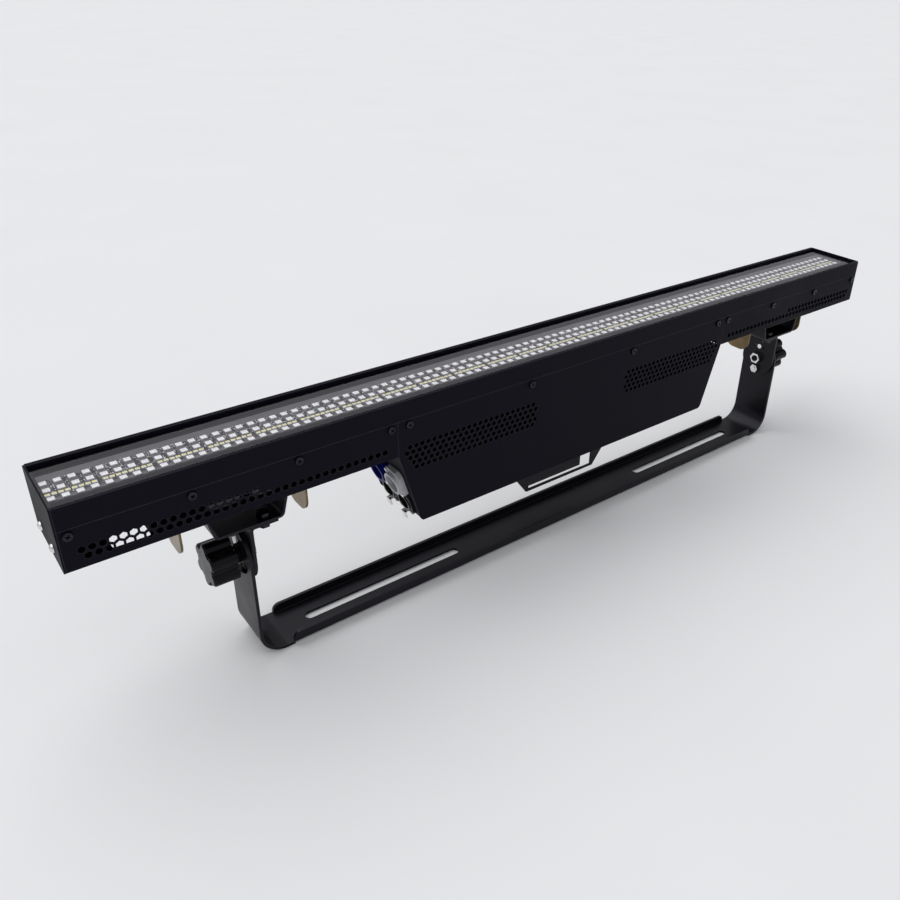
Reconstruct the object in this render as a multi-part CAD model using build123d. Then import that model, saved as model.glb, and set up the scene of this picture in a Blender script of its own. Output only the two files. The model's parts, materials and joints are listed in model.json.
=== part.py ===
from build123d import *
import math
import os

# Outdoor wall washer light: a slim LED bar that tilts in a floor yoke.
# Millimetres. X runs along the bar, -Y is the front, +Z is up, Z = 0 is the floor.
# The origin is the point on the floor under the middle of the bar.

# ---------------------------------------------------------------- driving sizes
# Lamp housing
BAR_LENGTH = 1016.0
BAR_WIDTH = 75.0
BAR_HEIGHT = 56.0
BAR_TOP = 224.0
WALL = 3.0
RIM = 4.3
SEAM_DROP = 19.5
SKIRT_LENGTH = 11.0
COVER_DROP = 3.0
GLASS_THICK = 2.0
GASKET_THICK = 0.8
LEDGE = 3.0
BOARD_DROP = 6.5
BOARD_THICK = 1.6
BOARD_WIDTH = 41.0
BOARD_FRONT = 21.2
TRAY_THICK = 3.0
FIN_COUNT = 7
FIN_PITCH = 9.0
FIN_THICK = 2.0
FIN_HEIGHT = 24.0
END_PLATE = 1.5
SHEET = 1.2
SHEET_BEND = 2.0

# LEDs: rows given from the board's front edge, four LEDs to a block
GROUP_PITCH = 40.0
GROUP_LENGTH = 35.0
FIRST_COLUMN = 5.5
LED_SIZE = 5.0
LED_HEIGHT = 1.5
LED_ROWS = (2.8, 17.2, 27.1)
SMALL_ROW = 9.0
SMALL_SIZE = 3.0
SMALL_HEIGHT = 0.9

# Power box under the middle of the bar
BOX_TOP_HALF = 227.0
BOX_FLOOR_HALF = 204.0
BOX_DEPTH = 79.5
BOX_CORNER = 8.0
BOX_INSET = 1.0
SIDE_SHEET = 1.5
SIDE_FOOT = 14.0
SIDE_BEND = 4.0
SIDE_FLANGE = 10.0
SIDE_FLANGE_ENDS = 12.0
SEAM_GAP = 0.4

# Honeycomb vents: rows of (count, shift in pitches)
BOX_VENT_PITCH = 6.66
BOX_VENT_FLATS = 4.8
BOX_VENT_INSET = 8.8
BOX_VENT_DROP = 48.8
BOX_VENT_ROWS = ((23, 0.5), (24, 0.0), (23, 0.5), (23, 1.0), (22, 1.5))
BAR_VENT_PITCH = 7.315
BAR_VENT_FLATS = 5.6
BAR_VENT_INSET = 14.6
BAR_VENT_MARGIN = 10.0
BAR_VENT_DROP = 39.6
BAR_VENT_SHORT_ROW = 19
REAR_SLOT_LENGTH = 22.0
REAR_SLOT_WIDTH = 5.0
REAR_SLOT_PITCH = 28.0
BOX_SLOT_COUNT = 5
END_VENT_INSET = 51.0
END_VENT = (28.5, 18.0)
HAT_VENT = (56.0, 10.0)
FLOOR_VENT_Y = -17.0

# Cover screws and end screws
SCREW_DROP = 24.7
SCREW_HEAD_R = 3.8
SCREW_HEAD = 2.0
SCREW_R = 1.8
SCREW_LENGTH = 5.0
SCREW_INSET = 6.5
BAR_SCREW_COUNT = 4
BOX_SCREW_INSET = 11.8
BOX_SCREW_MIDDLE = 71.9
END_SCREW_Y = 17.2
END_SCREW_DROP = 43.7
END_TAB_WIDTH = 20.0
END_TAB_HEIGHT = 17.0
DOME_R = 3.8
DOME_HIGH = 3.2

# Suspension: yoke
YOKE_Y = -2.0
YOKE_OUTER = 371.0
YOKE_SHEET = 3.0
YOKE_WIDTH = 50.0
YOKE_BEND = 25.0
FLANGE_HEIGHT = 12.0
FLANGE_HALF = 339.0
FLANGE_BEND = 4.0
FLANGE_ROUND = 7.0
BASE_SLOT_X = 226.3
BASE_SLOT_LENGTH = 180.0
BASE_SLOT_WIDTH = 10.5
PIVOT_DROP = 119.9

# Suspension: swivel plates, clamp studs and guide bolts
STUD_R = 4.0
GUIDE_RADIUS = 16.0
GUIDE_SWING = 60.0
GUIDE_BOLT_R = 3.0
GUIDE_HEX = 10.0
GUIDE_HEAD = 4.5
SPARE_HOLE_R = 1.6
SPARE_HOLE_Y = 7.0
SWIVEL_GAP = 1.0
SWIVEL_SHEET = 3.0
SWIVEL_WIDTH = 48.0
SWIVEL_BEND = 5.0
FOOT_LENGTH = 26.0
PIVOT_HEX = 13.0
PIVOT_NUT = 6.5
WASHER_R = 10.0
THREAD_PROUD = 1.0

# Suspension: hat brackets and their bolts
HAT_X = 366.0
HAT_SHEET = 2.0
HAT_BEND = 3.0
HAT_DROP = 25.2
HAT_TOP_HALF = 34.5
HAT_FLOOR_HALF = 28.5
HAT_REACH = 66.0
HAT_WIDTH = 50.0
BRACKET_BOLT_R = 3.0
BRACKET_BOLT_X = 351.5
BRACKET_BOLT_SPREAD = 34.0
BRACKET_HEX = 10.0
BRACKET_HEAD = 4.0
BRACKET_NUT = 5.0

# Clamp knobs
KNOB_R = 21.5
KNOB_LOBES = 6
KNOB_LOBE_R = 6.5
KNOB_CORE_R = 16.5
KNOB_STAND = 7.0
KNOB_LENGTH = 23.0
KNOB_HUB_R = 8.0
KNOB_EDGE = 1.5
KNOB_TURNS = {"left": 90.0, "right": 112.0}

# Quarter-turn wings
WING_SPREAD = 55.0
WING_SHEET = 2.0
WING_WIDTH = 36.0
WING_HEIGHT = 34.0
WING_ROUND = 13.0
WING_COLLAR_R = 8.0
WING_COLLAR = 4.0
WING_STUD_R = 3.5
CAM_LENGTH = 13.0
CAM_WIDTH = 5.0
CAM_THICK = 2.5

# Sockets on the slanted left side
POWER_SLOPE = 41.5
DATA_SLOPE = 69.0
SOCKET_Y = 14.0
POWER_FLANGE = (26.0, 31.0)
POWER_CORNER = 5.0
POWER_STAND = 4.5
POWER_RING_R = 12.0
POWER_RING = 3.5
POWER_MOUTH_R = 9.5
DATA_FLANGE = (26.0, 23.5)
DATA_CORNER = 2.5
DATA_STAND = 2.2
DATA_RING_R = 10.0
DATA_RING = 1.0
DATA_MOUTH_R = 8.0
BARREL_STEP = 1.0
BARREL_LENGTH = 16.0
MOUTH_DEPTH = 9.0
CONTACT_SIZE = 2.0
CONTACT_LENGTH = 2.0
CONTACT_CIRCLE = 4.5
TAB_WIDTH = 7.0
TAB_THICK = 1.2
TAB_STAND = 6.7
TAB_DEPTH = 2.5
TAB_OFFSET = 11.0
TAB_REACH = 7.5
TAB_ROUND = 2.0
TAB_TRAVEL = 2.0
SOCKET_SCREW_R = 1.8
SOCKET_SCREW_HEAD = 1.2
POWER_SCREW = (9.2, 11.7)
DATA_SCREW = (10.0, 8.7)

# Menu panel and the plate that guards it
PANEL_HALF = 41.0
PANEL_FRONT = -1.9
PANEL_DEPTH = 26.0
PANEL_HEIGHT = 41.0
PANEL_CORNER = 2.0
WINDOW_LENGTH = 32.0
WINDOW_HEIGHT = 14.0
WINDOW_DEPTH = 0.6
WINDOW_X = 18.0
BUTTON_COUNT = 4
BUTTON_R = 3.0
BUTTON_PITCH = 9.5
BUTTON_START = -30.0
BUTTON_PROUD = 1.5
BUTTON_DEPTH = 3.5
BUTTON_TRAVEL = 0.8
GUARD_Y = -9.6
GUARD_SHEET = 2.0
GUARD_HALF = 50.0
GUARD_TOP_HALF = 79.0
GUARD_DROP = 39.5
GUARD_FOOT = 14.0
GUARD_BEND = 3.0
GUARD_OPENING_HALF = 47.0
GUARD_BAR = 2.5
GUARD_BROW = 8.0

# Inside the power box
SUPPLY_SIZE = (215.0, 62.0, 31.0)
SUPPLY_X = -60.0
TERMINAL_SIZE = (16.0, 50.0, 14.0)
DRIVER_SIZE = (120.0, 58.0, 1.6)
DRIVER_X = 122.0
DRIVER_INSET = 6.0
STANDOFF_R = 3.0
STANDOFF = 8.0
CAPACITOR_R = 6.0
CAPACITOR_HIGH = 18.0
CAPACITOR_PITCH = 16.0
FAN_X = 140.0
FAN_SIZE = 60.0
FAN_THICK = 15.0
FAN_CORNER = 4.0
FAN_BORE_R = 28.5
FAN_HUB_R = 12.0
FAN_BASE = 2.5
FAN_ARM = 3.0
FAN_BLADES = 7
FAN_BLADE_THICK = 1.2
FAN_BLADE_TILT = 38.0
FAN_TIP_GAP = 1.0
FAN_PIN_R = 1.5

# Clearances
RUNNING_GAP = 0.05
SLIDE_GAP = 0.3
HOLE_GAP = 0.3

# ---------------------------------------------------------------- derived places
HALF_X = BAR_LENGTH / 2
HALF_Y = BAR_WIDTH / 2
BAR_FLOOR = BAR_TOP - BAR_HEIGHT
SEAM_Z = BAR_TOP - SEAM_DROP
GLASS_TOP = BAR_TOP - COVER_DROP
GLASS_FLOOR = GLASS_TOP - GLASS_THICK
BOARD_TOP = BAR_TOP - BOARD_DROP
TRAY_TOP = BOARD_TOP - BOARD_THICK
TRAY_FLOOR = TRAY_TOP - TRAY_THICK
FIN_TIP = TRAY_FLOOR - FIN_HEIGHT
SCREW_Z = BAR_TOP - SCREW_DROP
END_SCREW_Z = BAR_TOP - END_SCREW_DROP
BODY_END = HALF_X - END_PLATE
COVER_START = BOX_TOP_HALF + SEAM_GAP
COVER_LENGTH = BODY_END - COVER_START
GROUP_COUNT = int((2 * BODY_END - FIRST_COLUMN) // GROUP_PITCH)
SCREW_STEP = (COVER_LENGTH - 2 * SCREW_INSET) / (BAR_SCREW_COUNT - 1)
BAR_SCREWS = [COVER_START + SCREW_INSET + i * SCREW_STEP for i in range(BAR_SCREW_COUNT)]
BOX_SCREWS = [BOX_SCREW_MIDDLE, BOX_TOP_HALF - BOX_SCREW_INSET]
BOX_VENT_START = BOX_TOP_HALF - BOX_VENT_INSET
BAR_VENT_START = HALF_X - BAR_VENT_INSET
BAR_VENT_SPAN = BAR_VENT_START - COVER_START - BAR_VENT_MARGIN
BAR_VENT_ROWS = ((BAR_VENT_SHORT_ROW, 0.0), (int(BAR_VENT_SPAN // BAR_VENT_PITCH) + 1, 0.5))
BAR_SLOT_COUNT = int(BAR_VENT_SPAN // REAR_SLOT_PITCH)
FLOOR_VENTS = ((HALF_X - END_VENT_INSET, END_VENT), (HAT_X, HAT_VENT))
BOX_FLOOR = BAR_FLOOR - BOX_DEPTH
SHELF = BOX_FLOOR + SHEET
SLOPE_RUN = BOX_TOP_HALF - BOX_FLOOR_HALF
SLOPE_LENGTH = math.hypot(SLOPE_RUN, BOX_DEPTH)
PIVOT_Z = BAR_TOP - PIVOT_DROP
YOKE_INNER = YOKE_OUTER - YOKE_SHEET
ARM_END_R = YOKE_WIDTH / 2
SWIVEL_OUTER = YOKE_INNER - SWIVEL_GAP
SWIVEL_INNER = SWIVEL_OUTER - SWIVEL_SHEET
HAT_FLOOR_TOP = BAR_FLOOR - HAT_DROP + HAT_SHEET
HAT_UNDERSIDE = BAR_FLOOR - HAT_DROP
PANEL_BACK = PANEL_FRONT + PANEL_DEPTH
PANEL_MID = BOX_FLOOR - PANEL_HEIGHT / 2
SIDES = {"left": -1, "right": 1}


# ---------------------------------------------------------------- helpers
def block(x, y, z):
    """A box from three pairs of opposite faces."""
    size = Box(abs(x[1] - x[0]), abs(y[1] - y[0]), abs(z[1] - z[0]))
    return Pos((x[0] + x[1]) / 2, (y[0] + y[1]) / 2, (z[0] + z[1]) / 2) * size


def rod(plane, radius, start, end):
    """A round bar along a plane's normal, between two heights over it."""
    return extrude(plane.offset(start) * Circle(radius), end - start)


def hexagon(plane, flats, start, end):
    """A hexagonal bar along a plane's normal, given across its flats."""
    outline = RegularPolygon(flats / 2, 6, major_radius=False)
    return extrude(plane.offset(start) * outline, end - start)


def sheet_section(points, thickness, bend):
    """Section of a folded sheet: the points are one face, the sheet lies left of them."""
    face = FilletPolyline(*points, radius=bend)
    return make_face(offset(face, thickness, side=Side.LEFT))


def x_plane(side, x, y=0.0, z=0.0):
    """A plane facing outward along X on one side of the bar; its Y is up."""
    return Plane(origin=(side * x, y, z), x_dir=(0, side, 0), z_dir=(side, 0, 0))


def y_plane(face, x, z):
    """A plane on the front (-1) or rear (1) face of the bar; its Y is up."""
    return Plane(origin=(x, face * HALF_Y, z), x_dir=(-face, 0, 0), z_dir=(0, face, 0))


def z_plane(x, y, z):
    """A level plane facing up."""
    return Plane(origin=(x, y, z))


def slope_plane(down, y):
    """A plane on the left slanted side, that far down it; its Y is up the slope."""
    share = down / SLOPE_LENGTH
    origin = (BOX_INSET - BOX_TOP_HALF + SLOPE_RUN * share, y, BAR_FLOOR - BOX_DEPTH * share)
    return Plane(origin=origin, x_dir=(0, -1, 0), z_dir=(-BOX_DEPTH, 0, -SLOPE_RUN))


def honeycomb(rows, pitch, flats, start_x, drop):
    """Hexagonal cutters through the front wall on the right, in staggered rows."""
    cell = Rot(0, 0, 30) * RegularPolygon(flats / 2, 6, major_radius=False)
    places = []
    for row, (count, shift) in enumerate(rows):
        z = BAR_TOP - drop - row * pitch * math.sqrt(3) / 2
        places += [(start_x - (i + shift) * pitch, z) for i in range(count)]
    cells = Sketch() + [Pos(x, z) * cell for x, z in places]
    return extrude(y_plane(-1, 0, 0).offset(-2 * SHEET) * cells, 3 * SHEET)


def rear_slots(count, start_x, z):
    """Cutters for a row of level slots through the rear wall on the right."""
    slot = Rectangle(REAR_SLOT_LENGTH, REAR_SLOT_WIDTH)
    centre = start_x - REAR_SLOT_LENGTH / 2
    slots = Sketch() + [Pos(-centre + i * REAR_SLOT_PITCH, z) * slot for i in range(count)]
    return extrude(y_plane(1, 0, 0).offset(-2 * SHEET) * slots, 3 * SHEET)


def cover_screw_planes(places):
    """Planes of all cover screws at these distances from the middle."""
    return [y_plane(face, side * x, SCREW_Z) for x in places for side in (-1, 1) for face in (-1, 1)]


def both_sides(shape):
    """A shape and its mirror image at the other end of the bar."""
    return [shape, mirror(shape, Plane.YZ)]


# ---------------------------------------------------------------- lamp housing
def lamp_extrusion():
    """Black aluminium profile: window rims, board tray, fins and cover skirts."""
    front = -HALF_Y + WALL
    back = HALF_Y - RIM
    length = (-BODY_END, BODY_END)
    body = block(length, (-HALF_Y, HALF_Y), (TRAY_FLOOR, BAR_TOP))
    body -= block(length, (front, back), (GLASS_FLOOR - GASKET_THICK, BAR_TOP))
    body -= block(length, (front + LEDGE, back - LEDGE), (TRAY_TOP, BAR_TOP))
    for face in (-1, 1):
        inner = face * (HALF_Y - WALL)
        body += block(length, (inner, face * HALF_Y), (SEAM_Z, TRAY_FLOOR))
        body += block(length, (inner, face * (HALF_Y - SHEET)), (SEAM_Z - SKIRT_LENGTH, SEAM_Z))
    for i in range(FIN_COUNT):
        y = (i - (FIN_COUNT - 1) / 2) * FIN_PITCH
        body += block(length, (y - FIN_THICK / 2, y + FIN_THICK / 2), (FIN_TIP, TRAY_FLOOR))
    for plane in cover_screw_planes(BAR_SCREWS + BOX_SCREWS):
        body -= rod(plane, SCREW_R, -WALL, 0)
    return body


def window_span():
    """Front and rear edges of the clear sheet and its gasket."""
    return -HALF_Y + WALL + HOLE_GAP, HALF_Y - RIM - HOLE_GAP


def window_cover():
    """Clear sheet that rests on the gasket, just under the rims."""
    return block((-BODY_END, BODY_END), window_span(), (GLASS_FLOOR, GLASS_TOP))


def window_gasket():
    """Rubber frame between the clear sheet and its ledges."""
    front, back = window_span()
    z = (GLASS_FLOOR - GASKET_THICK, GLASS_FLOOR)
    width = LEDGE - HOLE_GAP
    frame = block((-BODY_END, BODY_END), (front, back), z)
    end = BODY_END - width
    return frame - block((-end, end), (front + width, back - width), z)


def led_board():
    """Board with three rows of LED blocks and the low row between them."""
    front = -HALF_Y + BOARD_FRONT
    board = block((-BODY_END, BODY_END), (front, front + BOARD_WIDTH), (TRAY_TOP, BOARD_TOP))
    start = -BODY_END + FIRST_COLUMN - LED_SIZE / 2
    leds = []
    for i in range(GROUP_COUNT):
        x = start + i * GROUP_PITCH
        for row in LED_ROWS:
            y = front + row - LED_SIZE / 2
            z = (BOARD_TOP, BOARD_TOP + LED_HEIGHT)
            leds.append(block((x, x + GROUP_LENGTH), (y, y + LED_SIZE), z))
    end = start + (GROUP_COUNT - 1) * GROUP_PITCH + GROUP_LENGTH
    y = front + SMALL_ROW - SMALL_SIZE / 2
    leds.append(block((start, end), (y, y + SMALL_SIZE), (BOARD_TOP, BOARD_TOP + SMALL_HEIGHT)))
    return Compound(children=[board] + leds)


def end_plate(side):
    """Sheet cap over the whole section, screwed to the tabs of the bar cover."""
    face = x_plane(side, BODY_END, z=(BAR_TOP + BAR_FLOOR) / 2)
    plate = extrude(face * RectangleRounded(BAR_WIDTH, BAR_HEIGHT, SHEET_BEND), END_PLATE)
    for y in (-END_SCREW_Y, END_SCREW_Y):
        plate -= rod(x_plane(side, BODY_END, y, END_SCREW_Z), SCREW_R + HOLE_GAP, 0, END_PLATE)
    return plate


def end_plate_screws():
    """Bright dome-head screws, two at each end."""
    ball = (DOME_R ** 2 + DOME_HIGH ** 2) / (2 * DOME_HIGH)
    dome = Pos(0, 0, DOME_HIGH - ball) * Sphere(ball) & rod(Plane.XY, 2 * DOME_R, 0, DOME_HIGH)
    dome += rod(Plane.XY, SCREW_R, -SCREW_LENGTH, 0)
    screws = []
    for side in SIDES.values():
        for y in (-END_SCREW_Y, END_SCREW_Y):
            screws.append(x_plane(side, HALF_X, y, END_SCREW_Z) * dome)
    return Compound(children=screws)


# ---------------------------------------------------------------- covers
def bar_cover(side):
    """U-shaped sheet under one outer third of the bar; the left one has floor vents too."""
    faces = [(-HALF_Y, SEAM_Z), (-HALF_Y, BAR_FLOOR), (HALF_Y, BAR_FLOOR), (HALF_Y, SEAM_Z)]
    section = sheet_section(faces, SHEET, SHEET_BEND)
    cover = extrude(x_plane(1, COVER_START) * section, BODY_END - COVER_START)
    for face in (-1, 1):
        y = face * END_SCREW_Y
        tab_y = (y - END_TAB_WIDTH / 2, y + END_TAB_WIDTH / 2)
        cover += block((BODY_END - SHEET, BODY_END), tab_y, (BAR_FLOOR + SHEET, BAR_FLOOR + END_TAB_HEIGHT))
        cover -= rod(x_plane(1, BODY_END, y, END_SCREW_Z), SCREW_R, -SHEET, 0)
        for x in BAR_SCREWS:
            cover -= rod(y_plane(face, x, SCREW_Z), SCREW_R + HOLE_GAP, -SHEET, 0)
    for x in (HAT_X - WING_SPREAD, HAT_X + WING_SPREAD):
        cover -= keyhole(x, BAR_FLOOR, SHEET)
    for x, size in FLOOR_VENTS if side < 0 else ():
        vent = RectangleRounded(*size, SHEET_BEND)
        cover -= extrude(z_plane(x, FLOOR_VENT_Y, BAR_FLOOR) * vent, SHEET)
    cover -= honeycomb(BAR_VENT_ROWS, BAR_VENT_PITCH, BAR_VENT_FLATS, BAR_VENT_START, BAR_VENT_DROP)
    cover -= rear_slots(BAR_SLOT_COUNT, BAR_VENT_START, BAR_TOP - BAR_VENT_DROP)
    return cover if side > 0 else mirror(cover, Plane.YZ)


def box_outline():
    """Face of the power box with its slanted ends and rounded lower corners."""
    top = [(-BOX_TOP_HALF, SEAM_Z), (BOX_TOP_HALF, SEAM_Z)]
    low = [(BOX_TOP_HALF, BAR_FLOOR), (BOX_FLOOR_HALF, BOX_FLOOR)]
    low += [(-BOX_FLOOR_HALF, BOX_FLOOR), (-BOX_TOP_HALF, BAR_FLOOR)]
    outline = make_face(Polyline(*top, *low, close=True))
    corners = outline.vertices().filter_by(lambda v: abs(v.Y - BOX_FLOOR) < SHEET)
    return fillet(corners, BOX_CORNER)


def box_cover():
    """One folded sheet: front with its honeycomb fields, floor and slotted rear."""
    faces = [(-HALF_Y, SEAM_Z), (-HALF_Y, BOX_FLOOR), (HALF_Y, BOX_FLOOR), (HALF_Y, SEAM_Z)]
    section = sheet_section(faces, SHEET, SHEET_BEND)
    cover = extrude(x_plane(1, -BOX_TOP_HALF) * section, 2 * BOX_TOP_HALF)
    cover = cover & extrude(Plane.XZ.offset(-BAR_WIDTH) * box_outline(), 2 * BAR_WIDTH)
    for plane in cover_screw_planes(BOX_SCREWS):
        cover -= rod(plane, SCREW_R + HOLE_GAP, -SHEET, 0)
    cover -= both_sides(honeycomb(BOX_VENT_ROWS, BOX_VENT_PITCH, BOX_VENT_FLATS, BOX_VENT_START, BOX_VENT_DROP))
    for row in range(0, len(BOX_VENT_ROWS), 2):
        z = BAR_TOP - BOX_VENT_DROP - row * BOX_VENT_PITCH * math.sqrt(3) / 2
        cover -= both_sides(rear_slots(BOX_SLOT_COUNT, BOX_VENT_START, z))
    return cover


def box_side(side):
    """Slanted end sheet, recessed in the cover, with a foot and two long flanges."""
    low = BOX_FLOOR_HALF - BOX_INSET + SLOPE_RUN * SHEET / BOX_DEPTH
    faces = [(BOX_INSET - BOX_TOP_HALF, BAR_FLOOR), (-low, SHELF), (SIDE_FOOT - low, SHELF)]
    section = sheet_section(faces, SIDE_SHEET, SIDE_BEND)
    width = BAR_WIDTH - 2 * SHEET
    sheet = extrude(Plane.XZ.offset(-width / 2) * section, width)
    face = slope_plane(SLOPE_LENGTH / 2, 0)
    for edge in (-1, 1):
        y = (edge * (width / 2 - SHEET_BEND), edge * width / 2)
        sheet -= block((-BOX_TOP_HALF, 0), y, (SHELF, SHELF + SHEET_BEND))
        strip = Rectangle(SIDE_SHEET, SLOPE_LENGTH - 2 * SIDE_FLANGE_ENDS)
        sheet += extrude(face * Pos(edge * (width - SIDE_SHEET) / 2, 0) * strip, -SIDE_FLANGE)
    if side > 0:
        return mirror(sheet, Plane.YZ)
    for down, y, ring_r in SOCKETS.values():
        barrel_r = ring_r - BARREL_STEP + HOLE_GAP
        sheet -= rod(slope_plane(down, y), barrel_r, -BARREL_LENGTH - HOLE_GAP, SIDE_SHEET)
    for name in ("data_socket_in", "data_socket_out"):
        sheet -= tab_slot(name)
    return sheet


def cover_screws():
    """Black pan-head screws of the bar covers and box panels."""
    screws = []
    for plane in cover_screw_planes(BAR_SCREWS + BOX_SCREWS):
        screws.append(rod(plane, SCREW_HEAD_R, 0, SCREW_HEAD) + rod(plane, SCREW_R, -SCREW_LENGTH, 0))
    return Compound(children=screws)


# ---------------------------------------------------------------- sockets
SOCKETS = {
    "power_outlet": (POWER_SLOPE, -SOCKET_Y, POWER_RING_R),
    "power_inlet": (POWER_SLOPE, SOCKET_Y, POWER_RING_R),
    "data_socket_in": (DATA_SLOPE, -SOCKET_Y, DATA_RING_R),
    "data_socket_out": (DATA_SLOPE, SOCKET_Y, DATA_RING_R),
}


def socket(name, flange, corner, stand, ring, mouth_r):
    """Panel socket: chamfered flange, round ring with a mouth, barrel and contacts."""
    down, y, ring_r = SOCKETS[name]
    plane = slope_plane(down, y)
    outline = chamfer(Rectangle(*flange).vertices(), corner)
    body = extrude(plane * outline, stand)
    body += rod(plane, ring_r, stand, stand + ring)
    body += rod(plane, ring_r - BARREL_STEP, -BARREL_LENGTH, 0)
    mouth_floor = stand + ring - MOUTH_DEPTH
    body -= rod(plane, mouth_r, mouth_floor, stand + ring)
    for i in range(3):
        pin = plane * Pos(*polar(CONTACT_CIRCLE, 90 + 120 * i), mouth_floor)
        body += pin * extrude(Rectangle(CONTACT_SIZE, CONTACT_SIZE), CONTACT_LENGTH)
    return body


def polar(radius, degrees):
    """X and Y of a point on a circle."""
    return radius * math.cos(math.radians(degrees)), radius * math.sin(math.radians(degrees))


def data_socket(name):
    """Data socket with a notch for its release tab."""
    body = socket(name, DATA_FLANGE, DATA_CORNER, DATA_STAND, DATA_RING, DATA_MOUTH_R)
    return body - tab_slot(name)


def tab_plane(name):
    """Plane on the side sheet at the stem of a data socket's release tab."""
    down, y, _ = SOCKETS[name]
    return slope_plane(down + TAB_OFFSET, y)


def tab_slot(name):
    """The space in which a release tab's stem slides."""
    low = TAB_DEPTH + TAB_TRAVEL + SLIDE_GAP
    room = Rectangle(TAB_WIDTH + 2 * SLIDE_GAP, TAB_THICK + 2 * SLIDE_GAP)
    return extrude(tab_plane(name).offset(-low) * room, low + TAB_STAND)


def latch_tab(name):
    """Bright release tab: a stem in the socket's notch and a thumb plate past its edge."""
    plane = tab_plane(name)
    stem = extrude(plane.offset(-TAB_DEPTH) * Rectangle(TAB_WIDTH, TAB_THICK), TAB_DEPTH + TAB_STAND)
    length = TAB_REACH + TAB_THICK / 2
    plate = Pos(0, (TAB_THICK - length) / 2) * Rectangle(TAB_WIDTH, length)
    plate = fillet(plate.vertices().group_by(Axis.Y)[0], TAB_ROUND)
    return stem + extrude(plane.offset(TAB_STAND - TAB_THICK) * plate, TAB_THICK)


def socket_screws():
    """Two small bright screws on each socket flange, at opposite corners."""
    screws = []
    for name, (down, y, _) in SOCKETS.items():
        power = name.startswith("power")
        x, up = POWER_SCREW if power else DATA_SCREW
        face = slope_plane(down, y).offset(POWER_STAND if power else DATA_STAND)
        for sign in (-1, 1):
            head = face * Pos(sign * x, -sign * up) * Circle(SOCKET_SCREW_R)
            screws.append(extrude(head, SOCKET_SCREW_HEAD))
    return Compound(children=screws)


# ---------------------------------------------------------------- menu panel
def control_panel():
    """Housing of the menu panel: a recessed window and button holes face the rear."""
    z = (BOX_FLOOR - PANEL_HEIGHT, BOX_FLOOR)
    body = block((-PANEL_HALF, PANEL_HALF), (PANEL_FRONT, PANEL_BACK), z)
    body = fillet(body.edges().filter_by(Axis.Z), PANEL_CORNER)
    window = (WINDOW_X - WINDOW_LENGTH / 2, WINDOW_X + WINDOW_LENGTH / 2)
    z = (PANEL_MID - WINDOW_HEIGHT / 2, PANEL_MID + WINDOW_HEIGHT / 2)
    body -= block(window, (PANEL_BACK - WINDOW_DEPTH, PANEL_BACK), z)
    for i in range(BUTTON_COUNT):
        body -= rod(button_plane(i), BUTTON_R + SLIDE_GAP, -BUTTON_DEPTH - BUTTON_TRAVEL - SLIDE_GAP, 0)
    return body


def button_plane(i):
    """Rear-facing plane at a menu button."""
    x = BUTTON_START + i * BUTTON_PITCH
    return Plane(origin=(x, PANEL_BACK, PANEL_MID), x_dir=(-1, 0, 0), z_dir=(0, 1, 0))


def menu_button(i):
    """Round push button."""
    return rod(button_plane(i), BUTTON_R, -BUTTON_DEPTH, BUTTON_PROUD)


def panel_guard():
    """Folded plate in front of the menu panel: slanted ends and one long opening."""
    low = BOX_FLOOR - GUARD_DROP
    faces = [(GUARD_Y, low), (GUARD_Y, BOX_FLOOR), (GUARD_Y - GUARD_FOOT, BOX_FLOOR)]
    section = sheet_section(faces, GUARD_SHEET, GUARD_BEND)
    plate = extrude(Plane.YZ.offset(-GUARD_TOP_HALF) * section, 2 * GUARD_TOP_HALF)
    half = [(GUARD_TOP_HALF, BOX_FLOOR), (GUARD_HALF, low)]
    outline = make_face(Polyline(*half, *[(-x, z) for x, z in half[::-1]], close=True))
    plate = plate & extrude(Plane.XZ.offset(-BAR_WIDTH) * outline, 2 * BAR_WIDTH)
    opening = (-GUARD_OPENING_HALF, GUARD_OPENING_HALF)
    return plate - block(opening, (GUARD_Y - GUARD_SHEET, GUARD_Y), (low + GUARD_BAR, BOX_FLOOR - GUARD_BROW))


# ---------------------------------------------------------------- inside the box
def power_supply():
    """Enclosed switching supply on the box floor, with its terminal block."""
    length, width, height = SUPPLY_SIZE
    case = Pos(SUPPLY_X, 0, SHELF + height / 2) * Box(*SUPPLY_SIZE)
    end = SUPPLY_X + length / 2
    x = (end - TERMINAL_SIZE[0], end)
    y = (-TERMINAL_SIZE[1] / 2, TERMINAL_SIZE[1] / 2)
    return case - block(x, y, (SHELF + height - TERMINAL_SIZE[2], SHELF + height))


def driver_board():
    """LED driver board on four standoffs, with its tallest parts."""
    length, width, thick = DRIVER_SIZE
    low = SHELF + STANDOFF
    board = Pos(DRIVER_X, 0, low + thick / 2) * Box(*DRIVER_SIZE)
    for sx in (-1, 1):
        for sy in (-1, 1):
            x = DRIVER_X + sx * (length / 2 - DRIVER_INSET)
            board += rod(z_plane(x, sy * (width / 2 - DRIVER_INSET), SHELF), STANDOFF_R, 0, STANDOFF)
    for i in (-1, 0, 1):
        board += rod(z_plane(DRIVER_X + i * CAPACITOR_PITCH, 0, low + thick), CAPACITOR_R, 0, CAPACITOR_HIGH)
    return board


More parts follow.
